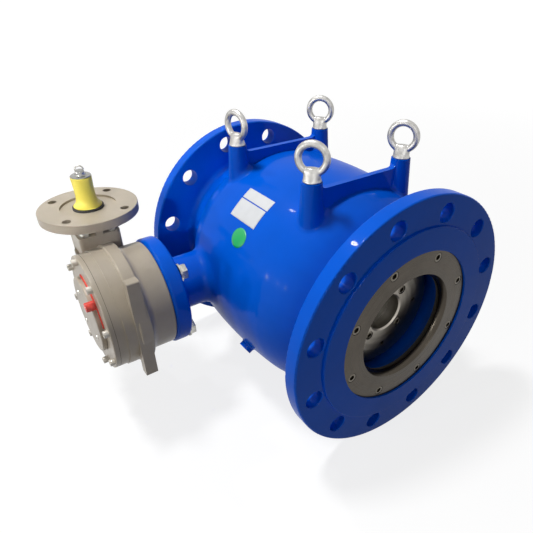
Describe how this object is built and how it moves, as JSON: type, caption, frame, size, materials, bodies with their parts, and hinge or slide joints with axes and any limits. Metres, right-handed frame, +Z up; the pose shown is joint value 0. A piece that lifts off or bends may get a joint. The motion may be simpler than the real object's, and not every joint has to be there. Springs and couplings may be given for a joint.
{
  "type": "annular flow valve",
  "caption": "Flanged annular flow control valve: a bulb in a swelled barrel guides an axial plunger, driven by a quarter-turn worm gearbox on a side boss.",
  "frame": {"origin": "centre of the inlet's raised face, on the flow axis", "axes": "+X downstream along the flow axis, +Z up towards the lifting eyes, the gearbox towards -Y"},
  "size_m": [0.4015, 0.4935, 0.3869],
  "materials": {
    "body_paint": "glossy blue epoxy coating on ductile iron",
    "gear_paint": "satin grey-beige coating on cast iron",
    "stainless": "turned stainless steel",
    "steel": "machined steel",
    "zinc": "galvanised or zinc-plated steel",
    "bronze": "machined bronze",
    "seal_rubber": "black elastomer",
    "slide_plastic": "pale slide-ring plastic",
    "gasket": "dark flat gasket",
    "yellow_plastic": "yellow moulded plastic",
    "red_plastic": "red moulded plastic"
  },
  "bodies": {
    "valve": {"valve_body": "body_paint", "inlet_flange": "body_paint", "outlet_flange": "body_paint", "flow_guide": "body_paint", "seat_ring": "stainless", "seat_seal": "seal_rubber", "seat_ring_cord": "seal_rubber", "seat_ring_screws": "stainless", "inner_bush": "bronze", "outer_bush": "bronze", "seal_gland": "bronze", "shaft_cords": "seal_rubber", "gland_screws": "stainless", "drain_plug": "stainless", "eye_bolts": "zinc", "mounting_washers": "zinc", "mounting_bolts": "zinc", "gearbox_case": "gear_paint", "cover_gasket": "gasket", "gearbox_cover": "gear_paint", "cover_screws": "stainless", "indicator_ring": "red_plastic", "worm_bearing_lower": "bronze", "worm_bearing_upper": "bronze", "input_seal": "seal_rubber", "worm_end_cap": "gear_paint", "input_flange": "gear_paint", "adapter_screws": "zinc", "dust_ring": "seal_rubber"},
    "drive": {"drive_shaft": "stainless", "crank_arm": "stainless", "crank_pin": "steel", "crank_key": "steel", "pin_washer": "stainless", "pin_screw": "stainless", "worm_wheel": "bronze", "coupling_sleeve": "steel", "wheel_key": "steel", "indicator_disc": "gear_paint", "indicator_screws": "stainless", "indicator_pointer": "red_plastic"},
    "worm": {"worm_shaft": "steel", "shaft_sleeve": "yellow_plastic", "sleeve_cap": "stainless", "cap_clip": "stainless"},
    "block": {"slide_block": "steel", "block_bush": "bronze"},
    "plunger": {"plunger_cylinder": "stainless", "plunger_disc": "stainless", "plunger_disc_screws": "stainless", "plunger_guide_rings": "slide_plastic", "plunger_yoke": "stainless", "yoke_screws": "stainless"}
  },
  "joints": [
    {"name": "drive_turn", "type": "hinge", "parent": "valve", "child": "drive", "pos_m": [0.126, 0, 0], "axis": [0, 1, 0], "range_deg": [-56.4, 33.5]},
    {"name": "worm_turn", "type": "hinge", "parent": "valve", "child": "worm", "pos_m": [0.046, -0.261, 0], "axis": [0, 0, 1], "range_deg": [-1341, 2257]},
    {"name": "block_turn", "type": "hinge", "parent": "drive", "child": "block", "pos_m": [0.13355, 0, 0.03724], "axis": [0, 1, 0], "range_deg": [-33.6, 56.5]},
    {"name": "plunger_slide", "type": "slide", "parent": "valve", "child": "plunger", "axis": [1, 0, 0], "range_m": [-0.0346, 0.0206]}
  ],
  "couplings": [
    {"joint": "worm_turn", "follows": "drive_turn", "ratio": -40},
    {"joint": "block_turn", "follows": "drive_turn", "ratio": -1},
    {"joint": "plunger_slide", "follows": "drive_turn", "m_per_rad": 0.035014}
  ]
}
